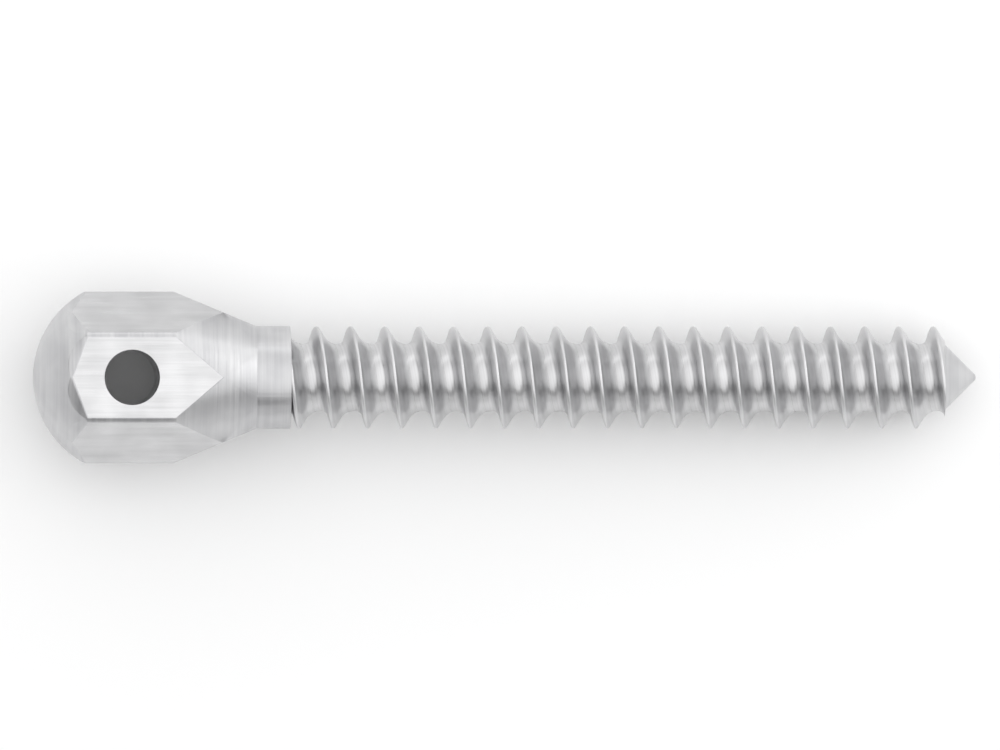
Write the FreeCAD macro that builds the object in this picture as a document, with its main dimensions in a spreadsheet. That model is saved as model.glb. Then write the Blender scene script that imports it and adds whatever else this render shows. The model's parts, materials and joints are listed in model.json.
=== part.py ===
import FreeCAD, Part
import math
import os
import Sketcher

# Orthodontic mini implant: a one-piece bone screw, turned, milled and thread-whirled from one rod.
# The screw is modelled along X, with the pole of its domed head at x = 0 and its tip towards +X.
# One flat of the hexagon head, with the mouth of the ligature hole in it, faces +Z.
# Its placement then lays it on its side, as it comes to rest on a table.

NODE = "implant_screw"
FLATS = 6

# Driving dimensions, in millimetres and degrees. Places are counted from the pole of the dome.
DRIVING = (
    ("head_diameter", 2.5, "round that the hexagon's corners keep"),
    ("across_flats", 2.2, "driver size of the hexagon"),
    ("dome_height", 0.75, "pole to the end of the dome"),
    ("head_length", 2.05, "pole to where the corners' bevels begin"),
    ("flat_tip", 0.54, "pole to the pointed end of each flat"),
    ("flat_shoulder", 0.765, "pole to where a flat has its full width"),
    ("lead_in", 25, "angle to the flat of the two small facets that guide a driver on to it"),
    ("hole_diameter", 0.8, "ligature hole through the head"),
    ("hole_place", 1.41, "pole to the hole's axis"),
    ("neck_length", 1.2, "tapered neck below the hexagon"),
    ("neck_ridge", 0.02, "how far the neck's six ridges would stand out of the flats"),
    ("collar_diameter", 1.5, "smooth collar in the gum"),
    ("collar_length", 0.5, "smooth collar in the gum"),
    ("thread_diameter", 1.49, "over the crests: 1.5 nominal, made a hair under"),
    ("core_diameter", 0.98, "at the bottom of the thread"),
    ("thread_pitch", 0.5, "one turn"),
    ("implant_length", 10.0, "collar to the end of the tip"),
    ("first_crest", 0.37, "collar to the first crest on the +Y side"),
    ("crest_width", 0.05, "flat on top of the ridge"),
    ("steep_knee", 0.11, "share of the pitch, crest to the end of the steep flank, towards the head"),
    ("steep_foot", 0.25, "share of the pitch, crest to where that flank's root meets the core"),
    ("sloping_knee", 0.25, "share of the pitch, crest to the end of the sloping flank, towards the tip"),
    ("sloping_foot", 0.58, "share of the pitch, crest to where that flank's root meets the core"),
    ("knee_rise", 0.33, "share of the thread's depth that both flanks leave to the roots"),
    ("foot_depth", 0.01, "how deep the roots run into the core"),
    ("tip_angle", 90, "full angle of the point"),
    ("tip_radius", 0.07, "rounding of the point"),
)

# Sizes that follow from the driving ones.
FOLLOWING = (
    ("head_radius", "head_diameter / 2"),
    ("apothem", "across_flats / 2"),
    ("flat_half_width", "sqrt(head_radius ^ 2 - apothem ^ 2)"),
    ("dome_radius", "(dome_height ^ 2 + head_radius ^ 2) / (2 * dome_height)"),
    # The two lead-in facets of a flat slope down to the axis. Their lines are taken on the middle
    # of the flat, where they meet each other, and on the hexagon's corner.
    ("lead_run", "flat_shoulder - flat_tip"),
    ("lead_edge", "sqrt(flat_half_width ^ 2 + lead_run ^ 2)"),
    ("lead_slope", "tan(lead_in * 1deg) * flat_half_width / lead_edge"),
    ("lead_lean", "tan(lead_in * 1deg) * lead_run / lead_edge"),
    ("lead_apex", "flat_tip - apothem / lead_slope"),
    ("lead_corner_slope", "lead_slope / (cos(30deg) + lead_lean * sin(30deg))"),
    ("neck_end", "head_length + neck_length"),
    ("collar_radius", "collar_diameter / 2"),
    ("collar_end", "neck_end + collar_length"),
    ("bevel_slope", "(head_radius - collar_radius) / neck_length"),
    ("bevel_apex", "head_length + head_radius / bevel_slope"),
    ("bevel_edge_slope", "bevel_slope / cos(30deg)"),
    # Where the lead-in facets, run on outside the head, would meet the bevels of the neck.
    (
        "waist_edge",
        "(lead_slope * lead_apex + bevel_edge_slope * bevel_apex)"
        " / (lead_slope + bevel_edge_slope)",
    ),
    ("waist_edge_radius", "lead_slope * (waist_edge - lead_apex)"),
    (
        "waist_corner",
        "(lead_corner_slope * lead_apex + bevel_slope * bevel_apex)"
        " / (lead_corner_slope + bevel_slope)",
    ),
    ("waist_corner_radius", "lead_corner_slope * (waist_corner - lead_apex)"),
    ("ridge_radius", "apothem + neck_ridge"),
    ("ridge_end", "head_length + (head_radius - ridge_radius * cos(30deg)) / bevel_slope"),
    ("core_radius", "core_diameter / 2"),
    ("screw_end", "collar_end + implant_length"),
    ("tip_centre", "screw_end - tip_radius"),
    ("point_end", "tip_centre + tip_radius / sin(tip_angle * 0.5deg)"),
    ("thread_end", "point_end - core_radius / tan(tip_angle * 0.5deg)"),
    ("crest_height", "thread_diameter / 2"),
    ("thread_depth", "crest_height - core_radius"),
    ("knee_radius", "core_radius + knee_rise * thread_depth"),
    ("foot_radius", "core_radius - foot_depth"),
    # The ridge is wound from two turns ahead of its first crest to a turn past the thread's end,
    # and then trimmed at both.
    ("thread_start", "collar_end + first_crest - 2 * thread_pitch"),
    ("thread_run", "thread_end - thread_start + thread_pitch"),
    ("trim_start", "thread_start - thread_pitch"),
    ("trim_end", "thread_start + thread_run + 2 * thread_pitch"),
    # The screw rests on the rear tip of its lowest flat and on the last crest that points down.
    # A crest comes round to the lowest place three quarters of a turn after the +Y side.
    ("heel_place", "ridge_end + neck_ridge * (neck_end - ridge_end) / (ridge_radius - collar_radius)"),
    ("low_crest", "collar_end + first_crest + 0.75 * thread_pitch"),
    ("low_turns", "floor((thread_end - low_crest) / thread_pitch)"),
    ("toe_place", "low_crest + low_turns * thread_pitch + crest_width / 2"),
    ("rest_tilt", "atan((apothem - crest_height) / (toe_place - heel_place))"),
    ("left_reach", "dome_radius * cos(rest_tilt) - dome_radius"),
    ("right_reach", "tip_centre * cos(rest_tilt) + tip_radius"),
    ("rest_height", "apothem * cos(rest_tilt) + heel_place * sin(rest_tilt)"),
)

doc = FreeCAD.newDocument("orthodontic_mini_implant")
sizes = doc.addObject("Spreadsheet::Sheet", "sizes")


def fill_sheet():
    """Puts the driving and the following sizes in the sheet, each under its own name."""
    for row, (alias, value, note) in enumerate(DRIVING, start=1):
        sizes.set(f"A{row}", alias)
        sizes.set(f"B{row}", str(value))
        sizes.set(f"C{row}", note)
        sizes.setAlias(f"B{row}", alias)
    for row, (alias, formula) in enumerate(FOLLOWING, start=len(DRIVING) + 2):
        sizes.set(f"A{row}", alias)
        sizes.set(f"B{row}", "=" + formula)
        sizes.setAlias(f"B{row}", alias)
    doc.recompute()


def number(value):
    """A plain number, from a number or a quantity."""
    return float(getattr(value, "Value", value))


def size(alias):
    """One value of the sheet."""
    return number(getattr(sizes, alias))


def origin_part(body, role):
    """One of a body's own origin planes or axes."""
    return next(item for item in body.Origin.OriginFeatures if item.Role == role)


def new_sketch(body, name):
    """An empty sketch on the body's XY plane."""
    sketch = body.newObject("Sketcher::SketchObject", name)
    sketch.AttachmentSupport = [(origin_part(body, "XY_Plane"), "")]
    sketch.MapMode = "FlatFace"
    doc.recompute()
    return sketch


def dimension(sketch, kind, refs, name, formula):
    """A named dimension of the sketch, driven by the sheet."""
    value = number(sketch.evalExpression(formula))
    sketch.addConstraint(Sketcher.Constraint(kind, *refs, value))
    sketch.renameConstraint(sketch.ConstraintCount - 1, name)
    sketch.setExpression(".Constraints." + name, formula)


def place_point(sketch, edge, end, name, x_formula, y_formula):
    """Dimensions from the origin to one end of an edge, both driven by the sheet."""
    for kind, axis, formula in (("DistanceX", "x", x_formula), ("DistanceY", "y", y_formula)):
        if formula == "0":
            line = -2 if axis == "x" else -1
            sketch.addConstraint(Sketcher.Constraint("PointOnObject", edge, end, line))
        else:
            dimension(sketch, kind, (-1, 1, edge, end), name + "_" + axis, formula)


def add_outline(sketch, corners):
    """A closed outline of straight lines through named corners, each placed by the sheet."""
    points = [
        FreeCAD.Vector(
            number(sketch.evalExpression(x_formula)), number(sketch.evalExpression(y_formula)), 0
        )
        for name, x_formula, y_formula in corners
    ]
    first = sketch.GeometryCount
    for start, end in zip(points, points[1:] + points[:1]):
        sketch.addGeometry(Part.LineSegment(start, end), False)
    count = len(points)
    for index in range(count):
        following = first + (index + 1) % count
        sketch.addConstraint(Sketcher.Constraint("Coincident", first + index, 2, following, 1))
    for index, (name, x_formula, y_formula) in enumerate(corners):
        place_point(sketch, first + index, 1, name, x_formula, y_formula)


def join_ends(sketch, pairs):
    """Coincident ends, each pair as edge, end, edge, end."""
    for pair in pairs:
        sketch.addConstraint(Sketcher.Constraint("Coincident", *pair))


def smooth_ends(sketch, pairs):
    """Ends that meet without a corner, each pair as edge, end, edge, end."""
    for pair in pairs:
        sketch.addConstraint(Sketcher.Constraint("Tangent", *pair))


def point(x, y):
    """A point of a sketch."""
    return FreeCAD.Vector(x, y, 0)


def add_arc(sketch, centre, radius, start_degrees, end_degrees):
    """An arc that runs anticlockwise between two angles."""
    circle = Part.Circle(centre, FreeCAD.Vector(0, 0, 1), radius)
    arc = Part.ArcOfCircle(circle, math.radians(start_degrees), math.radians(end_degrees))
    return sketch.addGeometry(arc, False)


def add_line(sketch, start, end):
    """A straight edge."""
    return sketch.addGeometry(Part.LineSegment(start, end), False)


def revolve(body, kind, name, sketch):
    """A full turn of a sketch about the screw's axis, added or cut."""
    feature = body.newObject(kind, name)
    feature.Profile = sketch
    feature.ReferenceAxis = (origin_part(body, "X_Axis"), [""])
    feature.Angle = 360
    doc.recompute()
    return feature


def head_profile(body):
    """Half of the turned head: a dome on a round bar that runs on to the end of the neck."""
    sketch = new_sketch(body, "head_profile")
    radius = size("dome_radius")
    rim = math.degrees(math.atan2(size("head_radius"), size("dome_height") - radius))
    rim_point = point(size("dome_height"), size("head_radius"))
    end_top = point(size("neck_end"), size("head_radius"))
    end_axis = point(size("neck_end"), 0)
    dome = add_arc(sketch, point(radius, 0), radius, rim, 180)
    side = add_line(sketch, rim_point, end_top)
    end = add_line(sketch, end_top, end_axis)
    axis = add_line(sketch, end_axis, point(0, 0))
    join_ends(
        sketch,
        (
            (dome, 1, side, 1),
            (side, 2, end, 1),
            (end, 2, axis, 1),
            (axis, 2, dome, 2),
            (dome, 2, -1, 1),
        ),
    )
    sketch.addConstraint(Sketcher.Constraint("PointOnObject", dome, 3, -1))
    place_point(sketch, dome, 1, "rim", "sizes.dome_height", "sizes.head_radius")
    place_point(sketch, end, 1, "end", "sizes.neck_end", "sizes.head_radius")
    place_point(sketch, end, 2, "axis_end", "sizes.neck_end", "0")
    return sketch


def cut_flats(body):
    """Six milled flats, which run from the dome out over the neck."""
    sketch = new_sketch(body, "flat_outline")
    sketch.setExpression(".AttachmentOffset.Base.z", "sizes.apothem")
    add_outline(
        sketch,
        (
            ("near_left", "0", "-sizes.head_radius"),
            ("far_left", "sizes.collar_end", "-sizes.head_radius"),
            ("far_right", "sizes.collar_end", "sizes.head_radius"),
            ("near_right", "0", "sizes.head_radius"),
        ),
    )
    flat = body.newObject("PartDesign::Pocket", "flat")
    flat.Profile = sketch
    flat.Reversed = True
    flat.setExpression("Length", "2 * (sizes.head_radius - sizes.apothem)")
    doc.recompute()
    ring = body.newObject("PartDesign::PolarPattern", "hexagon")
    ring.Originals = [flat]
    ring.Axis = (origin_part(body, "X_Axis"), [""])
    ring.Angle = 360
    ring.Occurrences = FLATS
    body.Tip = ring
    doc.recompute()
    return ring


def bore_hole(body):
    """The ligature hole, square through the front and back flats."""
    sketch = new_sketch(body, "hole_circle")
    circle = Part.Circle(point(size("hole_place"), 0), FreeCAD.Vector(0, 0, 1), size("hole_diameter") / 2)
    sketch.addGeometry(circle, False)
    place_point(sketch, 0, 3, "hole", "sizes.hole_place", "0")
    dimension(sketch, "Radius", (0,), "bore", "sizes.hole_diameter / 2")
    hole = body.newObject("PartDesign::Pocket", "ligature_hole")
    hole.Profile = sketch
    hole.Midplane = True
    hole.setExpression("Length", "2 * sizes.head_diameter")
    doc.recompute()
    return hole


def build_head_blank():
    """The head as it leaves the lathe, with its flats and its hole, before facets and bevels."""
    body = doc.addObject("PartDesign::Body", "head_blank")
    doc.recompute()
    revolve(body, "PartDesign::Revolution", "turned_head", head_profile(body))
    turned = body.Shape.Volume
    cut_flats(body)
    milled = body.Shape.Volume
    bore_hole(body)
    drilled = body.Shape.Volume
    print(f"head: turned {turned:.4f}, milled {milled:.4f}, drilled {drilled:.4f} mm3")
    if not drilled < milled < turned:
        raise RuntimeError("a cut of the head removed nothing")
    return body


def around(x, radius, degrees):
    """A point at a distance from the screw's axis, its angle counted from +Z."""
    angle = math.radians(degrees)
    return FreeCAD.Vector(x, radius * math.sin(angle), radius * math.cos(angle))


def build_head_bounds():
    """The solid that bounds the head and its neck on all sides but the flats.

    In front, twelve lead-in facets rise from the axis, two to each flat, and give the flats their
    pointed ends on the dome. Behind, six plane bevels run from the head's corners down to the
    collar, and between them six cones turn the hexagon into the collar's circle. Each bevel just
    touches that circle, so bevels and cones meet without a crease.
    """
    step = 360 / FLATS
    half = step / 2
    apex = FreeCAD.Vector(size("lead_apex"), 0, 0)
    foot, foot_radius = size("neck_end"), size("collar_radius")
    flats = [step * side for side in range(FLATS)]
    edges = [around(size("waist_edge"), size("waist_edge_radius"), flat) for flat in flats]
    corners = [around(size("waist_corner"), size("waist_corner_radius"), flat + half) for flat in flats]
    ridges = [around(size("ridge_end"), size("ridge_radius"), flat) for flat in flats]
    touches = [around(foot, foot_radius, flat + half) for flat in flats]
    arcs = [
        Part.Arc(touches[side - 1], around(foot, foot_radius, flats[side]), touches[side]).toShape()
        for side in range(FLATS)
    ]
    faces = [Part.Face(Part.Wire(arcs))]
    for side in range(FLATS):
        after = (side + 1) % FLATS
        outlines = (
            (apex, edges[side], corners[side]),
            (apex, corners[side], edges[after]),
            (edges[side], corners[side], edges[after], ridges[after], touches[side], ridges[side]),
        )
        faces.extend(Part.Face(Part.makePolygon(outline + outline[:1])) for outline in outlines)
        cone = Part.makeLoft([Part.Vertex(ridges[side]), Part.Wire([arcs[side]])], False, True)
        faces.extend(cone.Faces)
    shell = Part.makeShell(faces)
    shell.sewShape()
    solid = Part.makeSolid(shell)
    if solid.Volume < 0:
        solid.reverse()
    bounds = doc.addObject("Part::Feature", "head_bounds")
    bounds.Shape = solid
    bounds.Placement = FreeCAD.Placement()
    return bounds


def ridge_profile(body):
    """Section of the thread's ridge: a steep flank towards the head, a sloping one towards the
    tip, a narrow crest between them, and roots that flatten out into the core."""
    sketch = new_sketch(body, "ridge_profile")
    start = "sizes.thread_start"
    pitch = "sizes.thread_pitch"
    add_outline(
        sketch,
        (
            ("steep_foot", f"{start} - sizes.steep_foot * {pitch}", "sizes.foot_radius"),
            ("steep_knee", f"{start} - sizes.steep_knee * {pitch}", "sizes.knee_radius"),
            ("crest_start", f"{start} - sizes.crest_width / 2", "sizes.crest_height"),
            ("crest_end", f"{start} + sizes.crest_width / 2", "sizes.crest_height"),
            ("sloping_knee", f"{start} + sizes.sloping_knee * {pitch}", "sizes.knee_radius"),
            ("sloping_foot", f"{start} + sizes.sloping_foot * {pitch}", "sizes.foot_radius"),
        ),
    )
    return sketch


def trim_profile(body):
    """What lies outside the threaded length, as one rectangle at each end."""
    sketch = new_sketch(body, "trim_profile")
    ends = (
        ("head", "sizes.trim_start", "sizes.collar_end"),
        ("tip", "sizes.thread_end", "sizes.trim_end"),
    )
    for side, start, end in ends:
        add_outline(
            sketch,
            (
                (side + "_inner_start", start, "0"),
                (side + "_inner_end", end, "0"),
                (side + "_outer_end", end, "sizes.thread_diameter"),
                (side + "_outer_start", start, "sizes.thread_diameter"),
            ),
        )
    return sketch


def core_profile(body):
    """Half of the turned shank: collar, core and point."""
    sketch = new_sketch(body, "core_profile")
    half_angle = size("tip_angle") / 2
    lean = math.radians(90 - half_angle)
    tip, centre = size("tip_radius"), size("tip_centre")
    tip_edge = point(centre + tip * math.cos(lean), tip * math.sin(lean))
    places = (
        point(size("neck_end"), 0),
        point(size("neck_end"), size("collar_radius")),
        point(size("collar_end"), size("collar_radius")),
        point(size("collar_end"), size("core_radius")),
        point(size("thread_end"), size("core_radius")),
        tip_edge,
    )
    lines = [add_line(sketch, start, end) for start, end in zip(places, places[1:])]
    tip_arc = add_arc(sketch, point(centre, 0), tip, 0, 90 - half_angle)
    axis = add_line(sketch, point(size("screw_end"), 0), places[0])
    join_ends(sketch, [(before, 2, after, 1) for before, after in zip(lines, lines[1:])])
    smooth_ends(sketch, ((lines[-1], 2, tip_arc, 2),))
    join_ends(sketch, ((tip_arc, 1, axis, 1), (axis, 2, lines[0], 1)))
    place_point(sketch, lines[0], 1, "start", "sizes.neck_end", "0")
    place_point(sketch, lines[1], 1, "collar_start", "sizes.neck_end", "sizes.collar_radius")
    place_point(sketch, lines[2], 1, "collar_end", "sizes.collar_end", "sizes.collar_radius")
    place_point(sketch, lines[3], 1, "core_start", "sizes.collar_end", "sizes.core_radius")
    place_point(sketch, lines[4], 1, "core_end", "sizes.thread_end", "sizes.core_radius")
    place_point(sketch, tip_arc, 3, "tip_centre", "sizes.tip_centre", "0")
    place_point(sketch, tip_arc, 1, "tip_end", "sizes.screw_end", "0")
    return sketch


def build_shank():
    """Collar, core and point, with a right-hand bone thread from the collar to the point."""
    body = doc.addObject("PartDesign::Body", "shank")
    doc.recompute()
    profile = ridge_profile(body)
    ridge = body.newObject("PartDesign::AdditiveHelix", "thread_ridge")
    ridge.Profile = profile
    ridge.ReferenceAxis = (origin_part(body, "X_Axis"), [""])
    ridge.Mode = "pitch-height-angle"
    ridge.LeftHanded = False
    ridge.setExpression("Pitch", "sizes.thread_pitch")
    ridge.setExpression("Height", "sizes.thread_run")
    doc.recompute()
    whole = body.Shape.Volume
    revolve(body, "PartDesign::Groove", "thread_trim", trim_profile(body))
    trimmed = body.Shape.Volume
    revolve(body, "PartDesign::Revolution", "turned_shank", core_profile(body))
    print(f"thread: ridge {whole:.4f}, trimmed {trimmed:.4f}, with shank {body.Shape.Volume:.4f} mm3")
    if not trimmed < whole:
        raise RuntimeError("the thread wasn't trimmed")
    return body


def build_screw(head_blank, head_bounds, shank):
    """One solid: the bevelled head fused with the shank, laid down as it rests."""
    head = doc.addObject("Part::MultiCommon", "head")
    head.Shapes = [head_blank, head_bounds]
    head.Refine = True
    screw = doc.addObject("Part::MultiFuse", NODE)
    screw.Shapes = [head, shank]
    screw.Refine = True
    screw.Label = NODE
    screw.Placement = FreeCAD.Placement(
        FreeCAD.Vector(), FreeCAD.Rotation(FreeCAD.Vector(0, 1, 0), size("rest_tilt"))
    )
    screw.setExpression(".Placement.Rotation.Angle", "sizes.rest_tilt")
    screw.setExpression(".Placement.Base.x", "-(sizes.left_reach + sizes.right_reach) / 2")
    screw.setExpression(".Placement.Base.z", "sizes.rest_height")
    doc.recompute()
    return screw


def check_objects():
    """Every object of the document has to be up to date and sound."""
    for item in doc.Objects:
        if "Invalid" in item.State or "Error" in item.State:
            raise RuntimeError(f"{item.Label} failed: {item.State}")


def write_solid(item):
    """Checks one sub-part and writes its STEP file."""
    shape = item.Shape
    if shape.isNull() or not shape.isValid() or len(shape.Solids) != 1:
        raise RuntimeError(f"{item.Label} isn't one sound solid")
    os.makedirs("parts", exist_ok=True)
    shape.exportStep(os.path.join("parts", item.Label + ".step"))
    box = shape.BoundBox
    print(f"{item.Label}: {len(shape.Faces)} faces, {shape.Volume:.4f} mm3")
    print(f"  x {box.XMin:.4f} to {box.XMax:.4f}, y {box.YMin:.4f} to {box.YMax:.4f}")
    print(f"  z {box.ZMin:.4f} to {box.ZMax:.4f}, tilt {size('rest_tilt'):.4f} degrees")


fill_sheet()
implant_screw = build_screw(build_head_blank(), build_head_bounds(), build_shank())
check_objects()
write_solid(implant_screw)
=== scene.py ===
# %% [markdown]
# # An orthodontic mini implant
#
# The object is a bone screw, 13.75 mm long, made in one piece from a titanium rod. An orthodontist
# turns it into the jaw and pulls teeth against it with wires and springs. This lesson builds it as
# one closed mesh, gives each of its machined surfaces a finish, and sets it in plain soft light.

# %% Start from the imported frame
import json
import math

import bpy
from mathutils import Matrix, Vector


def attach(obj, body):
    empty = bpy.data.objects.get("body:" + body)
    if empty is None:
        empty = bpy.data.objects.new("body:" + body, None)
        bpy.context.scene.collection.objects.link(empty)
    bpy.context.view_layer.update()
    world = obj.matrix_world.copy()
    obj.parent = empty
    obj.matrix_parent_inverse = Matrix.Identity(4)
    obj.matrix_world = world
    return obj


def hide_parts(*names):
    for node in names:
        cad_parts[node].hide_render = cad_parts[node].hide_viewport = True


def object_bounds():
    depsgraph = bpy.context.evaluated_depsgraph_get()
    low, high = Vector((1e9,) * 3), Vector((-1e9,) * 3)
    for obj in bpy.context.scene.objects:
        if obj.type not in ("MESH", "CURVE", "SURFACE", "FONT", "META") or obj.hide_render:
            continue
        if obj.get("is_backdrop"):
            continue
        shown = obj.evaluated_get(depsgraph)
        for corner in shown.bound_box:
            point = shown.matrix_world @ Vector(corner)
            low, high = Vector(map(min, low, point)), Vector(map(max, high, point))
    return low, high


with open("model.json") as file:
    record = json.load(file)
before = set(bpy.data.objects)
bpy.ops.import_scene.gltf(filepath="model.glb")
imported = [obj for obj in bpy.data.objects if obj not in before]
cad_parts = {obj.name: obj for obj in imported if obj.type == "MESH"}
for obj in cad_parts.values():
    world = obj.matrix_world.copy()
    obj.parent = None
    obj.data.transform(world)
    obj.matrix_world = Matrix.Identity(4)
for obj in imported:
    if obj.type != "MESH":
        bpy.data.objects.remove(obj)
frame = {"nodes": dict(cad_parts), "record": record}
cad_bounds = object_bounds()
print("nodes of the frame:", sorted(frame["nodes"]))

# %% [markdown]
# ## Where the screw lies
#
# The frame's record says where the ligature hole and the collar are and which way they point. That
# is enough to find the screw's own axes again: x runs from the domed head to the tip, and z comes
# out of the flat that the hole opens in. Everything is modelled on those axes, with the pole of the
# dome at the origin, and laid in the CAD solid's place at the very end.
#
# One unit is one millimetre until then. Blender's operators have small built-in tolerances that
# would swallow edges of a few thousandths of a millimetre if the screw were modelled in metres.

# %% The screw's own axes
MILLIMETRE = 0.001
mounts = {mount["name"]: mount for mount in frame["record"]["mounts"]}
hole_mount = mounts["ligature_hole"]
collar_mount = mounts["gum_collar"]
along = Vector(collar_mount["axis"]).normalized()
upward = Vector(hole_mount["axis"]).normalized()
sideways = upward.cross(along).normalized()
print("tilt of the screw:", round(math.degrees(math.asin(-along.z)), 2), "degrees")

# %% [markdown]
# ## The sizes of the screw
#
# These are the driving dimensions in millimetres, with places counted from the pole of the dome.
# They are the same as those of the CAD solid that this mesh stands for, so it keeps that solid's
# form. Only the small roundings are new: broken edges on the head, and true curves in the thread.

# %% Driving dimensions
HEAD_RADIUS = 1.25
APOTHEM = 1.1
DOME_HEIGHT = 0.75
HEAD_LENGTH = 2.05
FLAT_TIP = 0.54
FLAT_SHOULDER = 0.765
LEAD_IN = math.radians(25)
NECK_END = 3.25
NECK_RIDGE = 0.02
COLLAR_RADIUS = collar_mount["dims"]["r_mm"]
COLLAR_LENGTH = collar_mount["dims"]["length_mm"]
HOLE_RADIUS = hole_mount["dims"]["r_mm"]
HOLE_PLACE = 1.41
THREADED_LENGTH = 10.0
COLLAR_END = NECK_END + COLLAR_LENGTH
SCREW_END = COLLAR_END + THREADED_LENGTH
FLATS = 6
TURN = math.radians(360)
QUARTER_TURN = math.radians(90)
SECTOR = TURN / FLATS
pole = Vector(collar_mount["pos_m"]) - along * (NECK_END + COLLAR_LENGTH / 2) * MILLIMETRE
print("pole of the dome, mm:", [round(value / MILLIMETRE, 3) for value in pole])

# %% [markdown]
# ## Drawing an outline with a single point
#
# A turned part begins as half of its section. By hand one would add a plane, merge its corners into
# one vertex, and pull that vertex along the outline: Extrude makes the straight stretches, and Spin,
# used on one vertex, makes the arcs. These helpers do exactly that in the plane z = 0, where x is
# the place along the screw and y the distance from its axis.
#
# The finished outline is wound about the x axis by a Screw modifier. With no climb it does the work
# of a lathe, and later, with a climb of one pitch a turn, it winds the thread.

# %% Outline helpers
MERGE_DISTANCE = 0.0001


def clear_selection():
    """Leaves edit mode and deselects every object."""
    if bpy.context.object and bpy.context.object.mode != "OBJECT":
        bpy.ops.object.mode_set(mode="OBJECT")
    bpy.ops.object.select_all(action="DESELECT")


def start_outline(name, x, y):
    """A new mesh that is one selected vertex, in edit mode: the merged corners of a small plane."""
    clear_selection()
    bpy.ops.mesh.primitive_plane_add(size=0.1, location=(x, y, 0))
    outline = bpy.context.object
    outline.name = name
    bpy.ops.object.transform_apply(location=True, rotation=False, scale=False)
    bpy.ops.object.mode_set(mode="EDIT")
    bpy.ops.mesh.select_mode(type="VERT")
    bpy.ops.mesh.select_all(action="SELECT")
    bpy.ops.mesh.merge(type="CENTER")
    return outline


def line_by(x, y):
    """Pulls the outline's end along by so much."""
    bpy.ops.mesh.extrude_region_move(TRANSFORM_OT_translate={"value": (x, y, 0)})


def arc_about(x, y, degrees, steps):
    """Turns the outline's end about a centre, anticlockwise for a positive angle."""
    bpy.ops.mesh.spin(steps=steps, angle=-math.radians(degrees), center=(x, y, 0), axis=(0, 0, 1))


def merge_close():
    """Joins vertices that share a place, in edit mode."""
    bpy.ops.mesh.select_all(action="SELECT")
    bpy.ops.mesh.remove_doubles(threshold=MERGE_DISTANCE)


def wind(piece, steps, climb=0, turns=1):
    """Winds an outline about the screw's axis and stays in edit mode. Without a climb it is a lathe."""
    bpy.ops.object.mode_set(mode="OBJECT")
    bpy.ops.object.modifier_add(type="SCREW")
    winding = piece.modifiers[-1]
    winding.axis = "X"
    winding.angle = TURN
    winding.screw_offset = climb
    winding.iterations = turns
    winding.steps = steps
    winding.render_steps = steps
    bpy.ops.object.modifier_apply(modifier=winding.name)
    bpy.ops.object.mode_set(mode="EDIT")
    merge_close()


def report(piece):
    """Leaves edit mode, and prints how large a mesh is and whether it is closed."""
    bpy.ops.object.mode_set(mode="OBJECT")
    mesh = piece.data
    uses = {}
    for face in mesh.polygons:
        for key in face.edge_keys:
            uses[key] = uses.get(key, 0) + 1
    open_edges = sum(1 for edge in mesh.edges if uses.get(tuple(sorted(edge.vertices)), 0) != 2)
    print(piece.name, "faces:", len(mesh.polygons), "edges without two faces:", open_edges)


# %% [markdown]
# ## The head as it leaves the lathe
#
# On the real screw the head is turned first: a spherical dome on a round bar. The dome's radius
# follows from its height and from the bar. The outline is wound about the screw's axis in 90 steps
# of 4 degrees, so that every one of the six sides gets the same columns of vertices.

# %% Turn the head
DOME_RADIUS = (DOME_HEIGHT**2 + HEAD_RADIUS**2) / (2 * DOME_HEIGHT)
DOME_DEGREES = math.degrees(math.asin(HEAD_RADIUS / DOME_RADIUS))
DOME_RINGS = 22
HEAD_COLUMNS = 90

head = start_outline("head", 0, 0)
arc_about(DOME_RADIUS, 0, -DOME_DEGREES, DOME_RINGS)
line_by(NECK_END - DOME_HEIGHT, 0)
line_by(0, -HEAD_RADIUS)
wind(head, HEAD_COLUMNS)
bpy.ops.mesh.normals_make_consistent(inside=False)
report(head)

# %% [markdown]
# ## Milling with planes
#
# Every flat, bevel and facet of the head is plane, so each is one Bisect: it slices the mesh,
# throws away what lies outside and fills the cut with a single face. A Boolean with a block would
# do the same, but a slice can't leave stray slivers behind.
#
# The six flats are the driver's. Two small lead-in facets at the end of each give it its point on
# the dome and guide the driver on.

# %% Mill the flats and the lead-in facets
SLICE_TOLERANCE = 0.00001


def around(x, radius, angle):
    """A point at a distance from the screw's axis, its angle counted from +z."""
    return Vector((x, radius * math.sin(angle), radius * math.cos(angle)))


def slice_off(place, normal):
    """Cuts the mesh in edit mode by a plane, drops what its normal points to and closes the cut."""
    bpy.ops.mesh.select_all(action="SELECT")
    bpy.ops.mesh.bisect(
        plane_co=place,
        plane_no=normal.normalized(),
        use_fill=True,
        clear_outer=True,
        threshold=SLICE_TOLERANCE,
    )


FLAT_HALF_WIDTH = math.sqrt(HEAD_RADIUS**2 - APOTHEM**2)
bpy.ops.object.mode_set(mode="EDIT")
for side in range(FLATS):
    middle = side * SECTOR
    across = around(0, 1, middle + QUARTER_TURN)
    outward = around(0, 1, middle)
    tip = around(FLAT_TIP, APOTHEM, middle)
    for way in (-1, 1):
        shoulder = around(FLAT_SHOULDER, APOTHEM, middle) + across * FLAT_HALF_WIDTH * way
        edge = (shoulder - tip).normalized()
        towards_pole = outward.cross(edge) * way
        slice_off(tip, outward * math.cos(LEAD_IN) + towards_pole * math.sin(LEAD_IN))
for side in range(FLATS):
    slice_off(around(0, APOTHEM, side * SECTOR), around(0, 1, side * SECTOR))
report(head)

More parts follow.
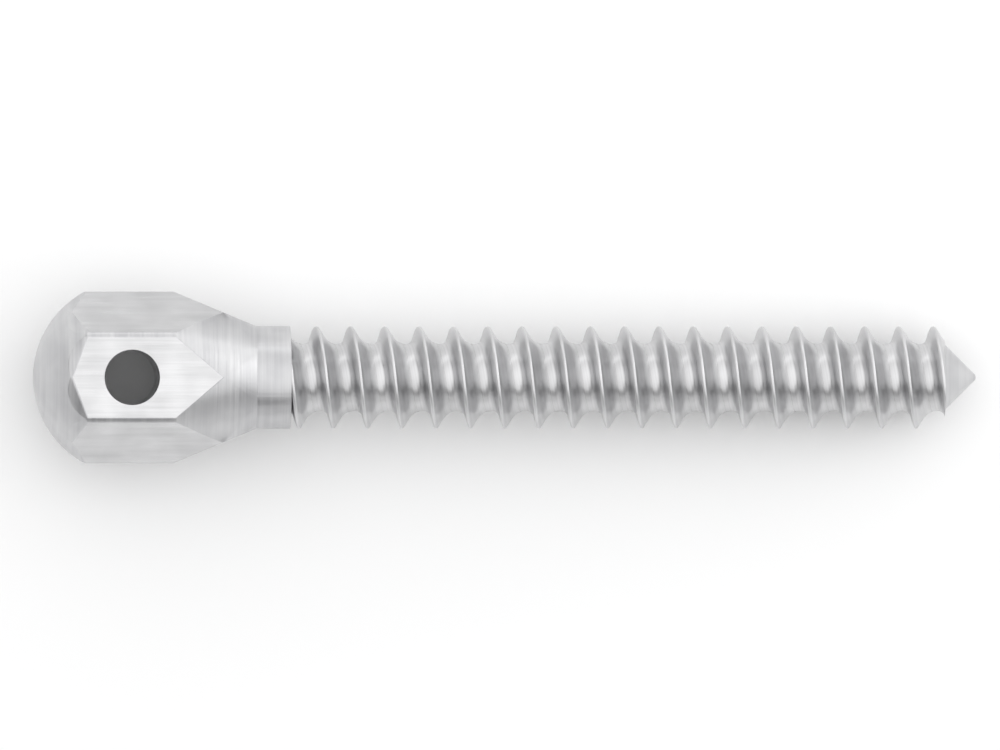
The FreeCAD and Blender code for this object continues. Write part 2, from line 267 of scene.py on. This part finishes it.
# %% [markdown]
# ## The neck
#
# Below the hexagon the head narrows to the collar. Six plane bevels start at the hexagon's corners
# and just touch the collar's edge circle. Between two bevels lies a piece of a slanting cone, which
# comes out of the rear point of a flat and widens to the circle. A cone has no plane faces, so it is
# sliced by eleven planes that each touch it along one straight line. Smooth shading does the rest.

# %% Slice the neck
BEVEL_SLOPE = (HEAD_RADIUS - COLLAR_RADIUS) / (NECK_END - HEAD_LENGTH)
RIDGE_RADIUS = APOTHEM + NECK_RIDGE
RIDGE_END = HEAD_LENGTH + (HEAD_RADIUS - RIDGE_RADIUS * math.cos(SECTOR / 2)) / BEVEL_SLOPE
CONE_SLICES = 11

bpy.ops.object.mode_set(mode="EDIT")
for side in range(FLATS):
    corner = (side + 0.5) * SECTOR
    slice_off(around(HEAD_LENGTH, HEAD_RADIUS, corner), around(BEVEL_SLOPE, 1, corner))
    ridge = around(RIDGE_END, RIDGE_RADIUS, side * SECTOR)
    for index in range(1, CONE_SLICES + 1):
        angle = (side - 0.5 + index / (CONE_SLICES + 1)) * SECTOR
        foot = around(NECK_END, COLLAR_RADIUS, angle)
        round_collar = around(0, 1, angle + QUARTER_TURN)
        slice_off(foot, round_collar.cross(ridge - foot))
report(head)

# %% [markdown]
# ## One vertex at each rear tip
#
# Where the eleven slices of a cone run out under the tip of a flat they leave a dozen vertices a few
# thousandths of a millimetre apart. An edge can't be broken across such a crowd, so each crowd is
# merged into one vertex. It lies in the plane of the flat, and the tip of the flat hardly moves.

# %% Merge the crowds
CROWD = 0.035


def pick_vertices(piece, wanted):
    """Selects the vertices whose place passes a test, and returns their number."""
    bpy.ops.object.mode_set(mode="EDIT")
    bpy.ops.mesh.select_mode(type="VERT")
    bpy.ops.mesh.select_all(action="DESELECT")
    bpy.ops.object.mode_set(mode="OBJECT")
    for vertex in piece.data.vertices:
        vertex.select = wanted(vertex.co)
    count = sum(1 for vertex in piece.data.vertices if vertex.select)
    bpy.ops.object.mode_set(mode="EDIT")
    return count


ridge_fall = (RIDGE_RADIUS - COLLAR_RADIUS) / (NECK_END - RIDGE_END)
tip_place = NECK_END - (APOTHEM - COLLAR_RADIUS) / ridge_fall
for side in range(FLATS):
    rear_tip = around(tip_place, APOTHEM, side * SECTOR)
    crowd = pick_vertices(head, lambda place: (place - rear_tip).length < CROWD)
    bpy.ops.mesh.merge(type="CENTER")
    print("side", side, "vertices merged:", crowd)
report(head)

# %% [markdown]
# ## The collar
#
# The smooth collar sits in the gum. The neck ends in a round face. The modifier made it a fan of
# triangles, so they are first dissolved into one, and extruding that face gives the collar with no
# seam between the two.

# %% Extrude the collar
NEAR = 0.003
STRAIGHT = math.cos(math.radians(1))


def pick_faces(piece, wanted):
    """Selects the faces that a test picks by their centre and normal, and returns their number."""
    bpy.ops.object.mode_set(mode="EDIT")
    bpy.ops.mesh.select_mode(type="FACE")
    bpy.ops.mesh.select_all(action="DESELECT")
    bpy.ops.object.mode_set(mode="OBJECT")
    for face in piece.data.polygons:
        face.select = wanted(face.center, face.normal)
    count = sum(1 for face in piece.data.polygons if face.select)
    bpy.ops.object.mode_set(mode="EDIT")
    return count


def at_neck_end(centre, normal):
    """True on the round face that the neck ends in."""
    return centre.x > NECK_END - NEAR and normal.x > STRAIGHT


print("faces made into one for the collar:", pick_faces(head, at_neck_end))
bpy.ops.mesh.dissolve_faces()
bpy.ops.mesh.extrude_region_move(TRANSFORM_OT_translate={"value": (COLLAR_LENGTH, 0, 0)})
report(head)

# %% [markdown]
# ## The ligature hole
#
# A wire or a hook goes through the head here. The hole is drilled square to two opposite flats, so a
# Boolean with a cylinder longer than the head is wide makes it. Its 64 sides are enough to look
# round from close by.

# %% Drill the hole
HOLE_STEPS = 64
DRILL_LENGTH = 4 * APOTHEM


def cut_with(piece, tool, operation):
    """Applies a Boolean to the piece and removes the tool."""
    clear_selection()
    bpy.context.view_layer.objects.active = piece
    piece.select_set(True)
    bpy.ops.object.modifier_add(type="BOOLEAN")
    modifier = piece.modifiers[-1]
    modifier.operation = operation
    modifier.solver = "EXACT"
    modifier.object = tool
    bpy.ops.object.modifier_apply(modifier=modifier.name)
    bpy.data.objects.remove(tool)


clear_selection()
bpy.ops.mesh.primitive_cylinder_add(
    vertices=HOLE_STEPS, radius=HOLE_RADIUS, depth=DRILL_LENGTH, location=(HOLE_PLACE, 0, 0)
)
drill = bpy.context.object
drill.name = "drill"
cut_with(head, drill, "DIFFERENCE")
report(head)

# %% [markdown]
# ## Broken edges
#
# No machined edge is truly sharp. On an implant every edge is broken by tumbling or a light blast,
# because a sharp one would cut the gum and fray a wire. The Bevel modifier rounds each edge that
# turns by more than 22 degrees, which is every edge but the flatter seams round the lead-in facets.
# Clamping is off, because the shortest edge of the mesh would hold back all the others.

# %% Round the edges
EDGE_ANGLE = math.radians(22)
EDGE_WIDTH = 0.009
EDGE_SEGMENTS = 2
bpy.ops.object.modifier_add(type="BEVEL")
edge_break = head.modifiers[-1]
edge_break.limit_method = "ANGLE"
edge_break.angle_limit = EDGE_ANGLE
edge_break.width = EDGE_WIDTH
edge_break.segments = EDGE_SEGMENTS
edge_break.use_clamp_overlap = False
bpy.ops.object.modifier_apply(modifier=edge_break.name)
report(head)

# %% [markdown]
# ## A rim on every flat
#
# Smooth shading would spread the turn of a broken edge over the whole flat beside it, and the hole's
# many rim vertices would show as rays. An Inset gives every flat a thin rim in its own plane, so
# that the large face inside it keeps a single direction.

# %% Inset the flats
FLAT_RIM = 0.006


def on_flat(centre, normal):
    """True on the six flats."""
    for side in range(FLATS):
        outward = around(0, 1, side * SECTOR)
        if normal.dot(outward) > STRAIGHT and abs(centre.dot(outward) - APOTHEM) < NEAR:
            return True
    return False


print("faces on the flats:", pick_faces(head, on_flat))
bpy.ops.mesh.inset(thickness=FLAT_RIM, depth=0)
report(head)

# %% [markdown]
# ## Crisp seams round the lead-in facets
#
# The seams between the dome and the lead-in facets turn by only 18 to 19 degrees, too little for the
# edge break. They are marked sharp instead, as one would with Mark Sharp in the Edge menu, so that
# the plane facets don't blur into the dome.

# %% Mark the seams
SEAM_ANGLES = (math.radians(17), EDGE_ANGLE)


def pick_edges(piece, least, most):
    """Selects the edges whose two faces turn by an angle in a range, and returns their number."""
    bpy.ops.object.mode_set(mode="EDIT")
    bpy.ops.mesh.select_mode(type="EDGE")
    bpy.ops.mesh.select_all(action="DESELECT")
    bpy.ops.object.mode_set(mode="OBJECT")
    normals = {}
    for face in piece.data.polygons:
        for key in face.edge_keys:
            normals.setdefault(key, []).append(face.normal)
    count = 0
    for edge in piece.data.edges:
        pair = normals[tuple(sorted(edge.vertices))]
        edge.select = len(pair) == 2 and least < pair[0].angle(pair[1], 0) < most
        count += edge.select
    bpy.ops.object.mode_set(mode="EDIT")
    return count


print("edges marked:", pick_edges(head, *SEAM_ANGLES))
bpy.ops.mesh.mark_sharp()
report(head)

# %% [markdown]
# ## The section of the thread
#
# A bone thread isn't the even V of a machine screw. Its flank towards the head is steep and holds
# against the pull of the wires, the one towards the tip slopes and lets the screw advance, and wide
# rounded roots keep the thin core from cracking. The section is drawn for one pitch, from the middle
# of one root to the middle of the next. A rounded corner is a straight line up to where the arc
# touches, and then a Spin of the end vertex. The section is placed two turns early, inside the head,
# so that the thread comes out of the collar at full height once it is trimmed.

# %% Draw one pitch of the section
PITCH = 0.5
CREST_RADIUS = 0.745
CORE_RADIUS = 0.49
FIRST_CREST = 0.37
STEEP_ANGLE = math.radians(74)
SLOPING_ANGLE = math.radians(59)
STEEP_ROOT = 0.12
SLOPING_ROOT = 0.25
CREST_ROUNDING = 0.03
STEEP_STEPS = 6
CREST_STEPS = 6
SLOPING_STEPS = 7


def rounded_outline(name, corners):
    """An outline through corners of x, y, rounding and steps. The first and last are its ends."""
    outline = start_outline(name, corners[0][0], corners[0][1])
    here = Vector(corners[0][:2])
    for index in range(1, len(corners) - 1):
        corner = Vector(corners[index][:2])
        rounding, steps = corners[index][2:]
        before = (corner - here).normalized()
        after = (Vector(corners[index + 1][:2]) - corner).normalized()
        turn = -before.angle_signed(after)
        reach = rounding * math.tan(abs(turn) / 2)
        start = corner - before * reach
        line_by(*(start - here))
        side = Vector((-before.y, before.x)) * math.copysign(rounding, turn)
        arc_about(*(start + side), math.degrees(turn), steps)
        here = corner + after * reach
    line_by(*(Vector(corners[-1][:2]) - here))
    return outline


lean = (STEEP_ANGLE - SLOPING_ANGLE) / 2
half_crest = (math.pi - STEEP_ANGLE - SLOPING_ANGLE) / 2
peak = CREST_RADIUS + CREST_ROUNDING * (math.cos(lean) / math.sin(half_crest) - 1)
steep_foot = (peak - CORE_RADIUS) / math.tan(STEEP_ANGLE)
sloping_foot = (peak - CORE_RADIUS) / math.tan(SLOPING_ANGLE)
steep_end = steep_foot + STEEP_ROOT * math.tan(STEEP_ANGLE / 2)
sloping_end = sloping_foot + SLOPING_ROOT * math.tan(SLOPING_ANGLE / 2)
root_middle = (sloping_end + PITCH - steep_end) / 2
print("flat left between the roots, mm:", round(PITCH - steep_end - sloping_end, 4))

EARLY_TURNS = 2
first_crest = COLLAR_END + FIRST_CREST - EARLY_TURNS * PITCH
thread = rounded_outline(
    "thread",
    (
        (first_crest + root_middle - PITCH, CORE_RADIUS),
        (first_crest - steep_foot, CORE_RADIUS, STEEP_ROOT, STEEP_STEPS),
        (first_crest, peak, CREST_ROUNDING, CREST_STEPS),
        (first_crest + sloping_foot, CORE_RADIUS, SLOPING_ROOT, SLOPING_STEPS),
        (first_crest + root_middle, CORE_RADIUS),
    ),
)
bpy.ops.object.mode_set(mode="OBJECT")
print("points in the section:", len(thread.data.vertices))

# %% [markdown]
# ## Winding the thread
#
# Now the Screw modifier climbs by one pitch a turn. Each turn starts where the one before it ended,
# a pitch further on, so the turns join into one skin once their shared vertices are merged. The
# thread is wound too long at both ends, and two slices trim it: one inside the collar, and one where
# the point begins. The sides of the 90 degree point would meet beyond its rounding, at the square
# root of two radii from the rounding's centre, and that says where the point begins.

# %% Wind and trim the thread
TIP_RADIUS = 0.07
TIP_CENTRE = SCREW_END - TIP_RADIUS
POINT_END = TIP_CENTRE + TIP_RADIUS * math.sqrt(2)
THREAD_END = POINT_END - CORE_RADIUS
TURN_STEPS = 80
OVERLAP = 0.1

wind(thread, TURN_STEPS, PITCH, math.ceil((THREAD_END - first_crest) / PITCH) + 1)
slice_off(around(COLLAR_END - OVERLAP, 0, 0), Vector((-1, 0, 0)))
slice_off(around(THREAD_END, 0, 0), Vector((1, 0, 0)))
bpy.ops.mesh.select_all(action="SELECT")
bpy.ops.mesh.normals_make_consistent(inside=False)
report(thread)

# %% [markdown]
# ## The point
#
# The screw ends in a 90 degree cone with a small rounding, sharp enough to find the pilot hole. It
# starts a little inside the core and a hair narrower, so that the two skins never coincide when
# they are joined.

# %% Turn the point
HAIR = 0.002
POINT_RINGS = 5
HALF_POINT_DEGREES = 45
point_radius = CORE_RADIUS - HAIR
cone_length = POINT_END - point_radius - (THREAD_END - OVERLAP)
point = start_outline("point", THREAD_END - OVERLAP, 0)
line_by(0, point_radius)
line_by(cone_length, 0)
touch = TIP_RADIUS * math.cos(math.radians(HALF_POINT_DEGREES))
line_by(point_radius - touch, touch - point_radius)
arc_about(TIP_CENTRE, 0, -HALF_POINT_DEGREES, POINT_RINGS)
wind(point, TURN_STEPS)
bpy.ops.mesh.normals_make_consistent(inside=False)
report(point)

# %% [markdown]
# ## One piece
#
# The real screw has no joints, so head, thread and point become one closed skin. The union also lets
# the thread grow out of the collar's end face, as it does on the real screw.

# %% Join head, thread and point
screw = head
cut_with(screw, thread, "UNION")
cut_with(screw, point, "UNION")
screw.name = "mini_implant"
report(screw)

# %% [markdown]
# ## Which tool cut which surface
#
# Each surface of the screw shows the tool that made it, so each gets a finish of its own. The dome,
# neck, collar and point are turned on a lathe, the flats are milled, the hole is drilled, and the
# thread is whirled, that is cut by a ring of teeth that runs round the rod. The faces are picked by
# their place and normal while the mesh still lies on the screw's axes. Those that no test picks keep
# the first finish.

# %% Give the faces their finishes
FINISHES = ("turned_titanium", "milled_titanium", "drilled_titanium", "whirled_titanium")
WALL_LEAN = 0.1


def in_hole(centre, normal):
    """True on the wall of the ligature hole."""
    return math.hypot(centre.x - HOLE_PLACE, centre.y) < HOLE_RADIUS and abs(normal.z) < WALL_LEAN


def on_thread(centre, normal):
    """True on the wound part."""
    return COLLAR_END + NEAR < centre.x < THREAD_END + NEAR


for name in FINISHES:
    bpy.ops.object.material_slot_add()
    screw.material_slots[-1].material = bpy.data.materials.new(name)
for slot, wanted in ((1, on_flat), (2, in_hole), (3, on_thread)):
    count = pick_faces(screw, wanted)
    screw.active_material_index = slot
    bpy.ops.object.material_slot_assign()
    print(FINISHES[slot], "faces:", count)
bpy.ops.object.mode_set(mode="OBJECT")

# %% [markdown]
# ## Smooth shading and its place
#
# Faces that turn by less than 35 degrees are shaded as one surface, except across the seams that
# were marked. Weighted normals then let the large flats keep their own direction and leave the whole
# turn to the narrow broken edges. The mesh is shrunk to metres and laid where the frame says, with
# its place in its vertices, and takes over from the CAD solid there.

# %% Shade the screw and lay it down
SMOOTH_ANGLE = math.radians(35)
bpy.ops.object.shade_smooth_by_angle(angle=SMOOTH_ANGLE, keep_sharp_edges=True)
placement = Matrix((along, sideways, upward)).transposed().to_4x4()
screw.matrix_world = Matrix.Translation(pole) @ placement @ Matrix.Scale(MILLIMETRE, 4)
bpy.ops.object.transform_apply(location=True, rotation=True, scale=True)
bpy.ops.object.modifier_add(type="WEIGHTED_NORMAL")
screw.modifiers[-1].keep_sharp = True
bpy.ops.object.modifier_apply(modifier=screw.modifiers[-1].name)
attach(screw, "root")
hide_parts("implant_screw")
triangles = sum(len(face.vertices) - 2 for face in screw.data.polygons)
print("triangles of the screw:", triangles)

# %% [markdown]
# ## Titanium
#
# The metal is a titanium alloy, Ti-6Al-4V, the usual one for bone screws. Cleaned and freshly cut it
# is a pale, neutral grey. It is left satin and not polished, so its roughness is about a third, and
# it mirrors only a soft picture of the lights.
#
# All four finishes are made alike. Soft clouds and fine tool marks together move the tone between
# two near greys. Noise seldom strays far from 0.5, so the greys are set close to it on both sides.
# The marks alone move the gloss and, through a Bump node, the relief. Only the marks differ. Their
# coordinates are the object's own, turned on to the screw's axes and counted in millimetres, so that
# a mark's size can be written as it would be measured.

# %% Material helpers
CLOUD_SIZE = 0.6
CLOUD_DETAIL = 2
MARK_SHARE = 0.5
TONE_ENDS = (0.38, 0.62)


def linear(hex_colour):
    """An sRGB hex value as a linear colour."""
    channels = [int(hex_colour[place : place + 2], 16) / 255 for place in (1, 3, 5)]
    return [c / 12.92 if c <= 0.04045 else ((c + 0.055) / 1.055) ** 2.4 for c in channels] + [1]


def add_node(tree, kind, settings=(), links=()):
    """Adds a node, sets its properties and inputs, and links its inputs, by name or by number."""
    node = tree.nodes.new(kind)
    for name, value in dict(settings).items():
        if isinstance(name, int) or name in node.inputs:
            node.inputs[name].default_value = value
        else:
            setattr(node, name, value)
    for name, source in dict(links).items():
        tree.links.new(source, node.inputs[name])
    return node


def start_metal(name):
    """Empties a material and returns its tree with coordinates on the screw's axes, in mm."""
    material = bpy.data.materials[name]
    material.use_nodes = True
    tree = material.node_tree
    tree.nodes.clear()
    coordinates = add_node(tree, "ShaderNodeTexCoord")
    on_screw = {
        "vector_type": "TEXTURE",
        "Location": pole,
        "Rotation": placement.to_euler(),
        "Scale": (MILLIMETRE, MILLIMETRE, MILLIMETRE),
    }
    mapping = add_node(tree, "ShaderNodeMapping", on_screw, {"Vector": coordinates.outputs["Object"]})
    return tree, mapping.outputs["Vector"]


def finish_metal(tree, axes, marks, colours, roughness, spread, mark_depth):
    """Satin metal. Clouds and marks drive its tone, and the marks alone its gloss and relief."""
    clouds = add_node(
        tree, "ShaderNodeTexNoise",
        {"Scale": 1 / CLOUD_SIZE, "Detail": CLOUD_DETAIL},
        {"Vector": axes},
    )
    blend = add_node(
        tree, "ShaderNodeMix",
        {"data_type": "FLOAT", 0: MARK_SHARE},
        {2: clouds.outputs["Fac"], 3: marks},
    )
    tone = add_node(tree, "ShaderNodeValToRGB", (), {"Fac": blend.outputs[0]})
    for stop, position, colour in zip(tone.color_ramp.elements, TONE_ENDS, colours):
        stop.position = position
        stop.color = linear(colour)
    gloss = add_node(
        tree, "ShaderNodeMapRange",
        {"To Min": roughness - spread, "To Max": roughness + spread},
        {"Value": marks},
    )
    relief = add_node(
        tree, "ShaderNodeBump",
        {"Strength": 1.0, "Distance": mark_depth * MILLIMETRE},
        {"Height": marks},
    )
    shader = add_node(
        tree, "ShaderNodeBsdfPrincipled",
        {"Metallic": 1.0},
        {
            "Base Color": tone.outputs["Color"],
            "Roughness": gloss.outputs["Result"],
            "Normal": relief.outputs["Normal"],
        },
    )
    add_node(tree, "ShaderNodeOutputMaterial", (), {"Surface": shader.outputs["BSDF"]})


# %% [markdown]
# ## Straight and round tool marks
#
# Noise that is squeezed along one axis and stretched along the others makes tool marks. Squeezed
# along the screw it gives the rings of a lathe, squeezed across the screw the strokes of a milling
# cutter, and squeezed along the hole the rings of a drill. The real marks are about 0.01 mm apart,
# finer than a pixel of the photo, so they are drawn several times as coarse, and very shallow.

# %% Turned, milled and drilled titanium
SATIN_GREYS = ("#BABABC", "#CDCDCE")
BRIGHT_GREYS = ("#BFBFC0", "#D2D2D3")
MARK_DETAIL = 3
MARK_ROUGHNESS = 0.6


def cut_metal(name, colours, roughness, spread, stretch, mark_depth):
    """Marks that are fine along one axis and long along the others. The stretch is in mm."""
    tree, axes = start_metal(name)
    squeezed = add_node(
        tree, "ShaderNodeMapping",
        {"Scale": [1 / size for size in stretch]},
        {"Vector": axes},
    )
    marks = add_node(
        tree, "ShaderNodeTexNoise",
        {"Scale": 1, "Detail": MARK_DETAIL, "Roughness": MARK_ROUGHNESS},
        {"Vector": squeezed.outputs["Vector"]},
    )
    finish_metal(tree, axes, marks.outputs["Fac"], colours, roughness, spread, mark_depth)
    print(name, "marks of mm:", stretch)


# Turned on a lathe and blasted lightly: the dullest of the four, with faint rings round the screw.
cut_metal("turned_titanium", SATIN_GREYS, 0.32, 0.09, (0.06, 3, 3), 0.004)

# Milled along the screw with a small cutter: brighter, with straight strokes that catch the light.
cut_metal("milled_titanium", BRIGHT_GREYS, 0.25, 0.08, (2, 0.07, 2), 0.003)

# Drilled and polished, so that a wire doesn't fray: glossy, with its far side mirrored in the wall.
cut_metal("drilled_titanium", BRIGHT_GREYS, 0.14, 0.04, (0.5, 0.5, 0.06), 0.001)

# %% [markdown]
# ## Marks along the helix
#
# The teeth that whirl a thread leave marks that run along it, so rings won't do. A point's place
# along the screw in pitches, less its turn about the axis, stays the same on the way round the
# helix. Fract keeps what is left over: how far between two crests the point lies. One-dimensional
# noise of that number gives marks that wind with the thread. The real ones are again too fine to
# see, so these are 0.045 mm wide.

# %% Whirled titanium
WOUND_DETAIL = 2


def whirled_metal(name, colours, roughness, spread, mark_size, mark_depth):
    """Marks that follow the thread. Each keeps its place between two crests all the way round."""
    tree, axes = start_metal(name)
    parts = add_node(tree, "ShaderNodeSeparateXYZ", (), {"Vector": axes})
    angle = add_node(
        tree, "ShaderNodeMath",
        {"operation": "ARCTAN2"},
        {0: parts.outputs["Z"], 1: parts.outputs["Y"]},
    )
    turns = add_node(tree, "ShaderNodeMath", {"operation": "DIVIDE", 1: TURN}, {0: angle.outputs[0]})
    pitches = add_node(
        tree, "ShaderNodeMath",
        {"operation": "DIVIDE", 1: PITCH},
        {0: parts.outputs["X"]},
    )
    unwound = add_node(
        tree, "ShaderNodeMath",
        {"operation": "SUBTRACT"},
        {0: pitches.outputs[0], 1: turns.outputs[0]},
    )
    from_crest = add_node(
        tree, "ShaderNodeMath",
        {"operation": "SUBTRACT", 1: first_crest / PITCH},
        {0: unwound.outputs[0]},
    )
    place = add_node(tree, "ShaderNodeMath", {"operation": "FRACT"}, {0: from_crest.outputs[0]})
    marks = add_node(
        tree, "ShaderNodeTexNoise",
        {"noise_dimensions": "1D", "Scale": PITCH / mark_size, "Detail": WOUND_DETAIL},
        {"W": place.outputs[0]},
    )
    finish_metal(tree, axes, marks.outputs["Fac"], colours, roughness, spread, mark_depth)
    print(name, "marks of mm:", mark_size)


# Whirled in one pass: clean and bright, with lines that run round the screw along the thread.
whirled_metal("whirled_titanium", BRIGHT_GREYS, 0.30, 0.08, 0.045, 0.002)

# %% [markdown]
# ## The table
#
# The drawing shows the screw on white. Here it lies on a plane of matt white board, wide enough to
# fill every view of the screw. Board hardly shines, so its roughness is high and its specular low.

# %% Lay the table
TABLE_WIDTH = 60
BOARD_ROUGHNESS = 0.9
BOARD_SPECULAR = 0.1

low, high = (Vector(corner) for corner in cad_bounds)
length = high.x - low.x
middle = (low + high) / 2
clear_selection()
bpy.ops.mesh.primitive_plane_add(size=TABLE_WIDTH * length, location=(middle.x, middle.y, 0))
table = bpy.context.object
table.name = "table"
board = bpy.data.materials.new("matt_white_board")
board.use_nodes = True
surface = board.node_tree.nodes["Principled BSDF"].inputs
surface["Base Color"].default_value = linear("#FAFAFA")
surface["Roughness"].default_value = BOARD_ROUGHNESS
surface["Specular IOR Level"].default_value = BOARD_SPECULAR
table.data.materials.append(board)
table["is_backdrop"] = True
print("width of the table, m:", round(TABLE_WIDTH * length, 3))

# %% [markdown]
# ## Two soft lamps
#
# A light is soft when it is large beside what it lights, so places and sizes are given in lengths of
# the screw. The ceiling lamp is a wide panel overhead. The end lamp is a low panel beyond the tip: it
# lights the slopes that face that way, the neck and one flank of the thread. A lamp's power spreads
# over its face, so it is worked out from the brightness that the face should have.

# %% Hang the lamps


def hang_lamp(name, place, width, depth, brightness):
    """A panel that faces the screw. Its place and size are in lengths of the screw."""
    position = middle + Vector(place) * length
    facing = (middle - position).to_track_quat("-Z", "Y").to_euler()
    bpy.ops.object.light_add(type="AREA", location=position, rotation=facing)
    lamp = bpy.context.object
    lamp.name = name
    lamp.data.shape = "RECTANGLE"
    lamp.data.size = width * length
    lamp.data.size_y = depth * length
    lamp.data.energy = brightness * math.pi * width * depth * length**2
    print(name, "power, W:", round(lamp.data.energy, 4))


hang_lamp("ceiling_lamp", (0.7, 1.2, 4), 12, 12, 0.68)
hang_lamp("end_lamp", (4, 0.4, 1.6), 5, 1.8, 0.8)

# %% [markdown]
# ## The room
#
# Metal shows what stands round it, so the world is a plain room and not one even grey. By height it
# has bright lower walls, a darker band above them, and a paler ceiling. The dark band is what draws
# the soft shaded lines along the collar and the thread. The walls on the +Y side are a little
# brighter, so the upper side of the picture is lighter than the lower, as in the drawing. The
# Standard view keeps white as white, where the default one would turn it grey.

# %% Light the room
WALL_TONES = (
    (0.0, "#F4F4F4"),
    (0.34, "#FFFFFF"),
    (0.46, "#989898"),
    (0.62, "#A4A4A4"),
    (1.0, "#E0E0E0"),
)
SIDE_STRENGTHS = (0.85, 1.25)

world = bpy.data.worlds.new("studio")
bpy.context.scene.world = world
world.use_nodes = True
room = world.node_tree
room.nodes.clear()
direction = add_node(room, "ShaderNodeTexCoord")
split = add_node(room, "ShaderNodeSeparateXYZ", (), {"Vector": direction.outputs["Generated"]})
walls = add_node(room, "ShaderNodeValToRGB", (), {"Fac": split.outputs["Z"]})
stops = walls.color_ramp.elements
while len(stops) < len(WALL_TONES):
    stops.new(0.5)
for stop, (height, colour) in zip(stops, WALL_TONES):
    stop.position = height
    stop.color = linear(colour)
side_light = add_node(
    room, "ShaderNodeMapRange",
    {"From Min": -1, "From Max": 1, "To Min": SIDE_STRENGTHS[0], "To Max": SIDE_STRENGTHS[1]},
    {"Value": split.outputs["Y"]},
)
glow = add_node(
    room, "ShaderNodeBackground", (),
    {"Color": walls.outputs["Color"], "Strength": side_light.outputs["Result"]},
)
add_node(room, "ShaderNodeOutputWorld", (), {"Surface": glow.outputs["Background"]})
bpy.context.scene.view_settings.view_transform = "Standard"
print("tones of the walls:", len(stops))

# %% [markdown]
# ## The camera
#
# The drawing has no perspective and looks straight down on the screw, so the camera is orthographic
# and hangs right above it. The drawn screw reaches from 33.0 to 975.7 pixels across the picture, and
# its axis is 377.4 pixels from the top. With the real length these give the scale and the place.

# %% Place the camera
PHOTO_WIDTH = 1000
PHOTO_HEIGHT = 750
PHOTO_LEFT = 33.0
PHOTO_RIGHT = 975.7
PHOTO_AXIS = 377.4
CAMERA_HEIGHT = 3
CLIP_LENGTHS = (0.1, 20)

metres_per_pixel = length / (PHOTO_RIGHT - PHOTO_LEFT)
camera_x = middle.x + (PHOTO_WIDTH / 2 - (PHOTO_LEFT + PHOTO_RIGHT) / 2) * metres_per_pixel
camera_y = middle.y + (PHOTO_AXIS - PHOTO_HEIGHT / 2) * metres_per_pixel
bpy.ops.object.camera_add(location=(camera_x, camera_y, CAMERA_HEIGHT * length), rotation=(0, 0, 0))
camera = bpy.context.object
camera.name = "photo_camera"
camera.data.type = "ORTHO"
camera.data.ortho_scale = PHOTO_WIDTH * metres_per_pixel
camera.data.clip_start = CLIP_LENGTHS[0] * length
camera.data.clip_end = CLIP_LENGTHS[1] * length
bpy.context.scene.camera = camera
print("one pixel is", round(metres_per_pixel / MILLIMETRE, 5), "mm")

# %% [markdown]
#
# The box of the CAD solid, measured at the start, and the box of the finished scene are kept side by
# side. They should be the same to within a hundredth of a millimetre.

# %% Keep the sizes and finish
visual_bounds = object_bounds()
gaps = [abs(a - b) for pair in zip(cad_bounds, visual_bounds) for a, b in zip(*pair)]
print("largest difference between the boxes, mm:", round(max(gaps) / MILLIMETRE, 4))
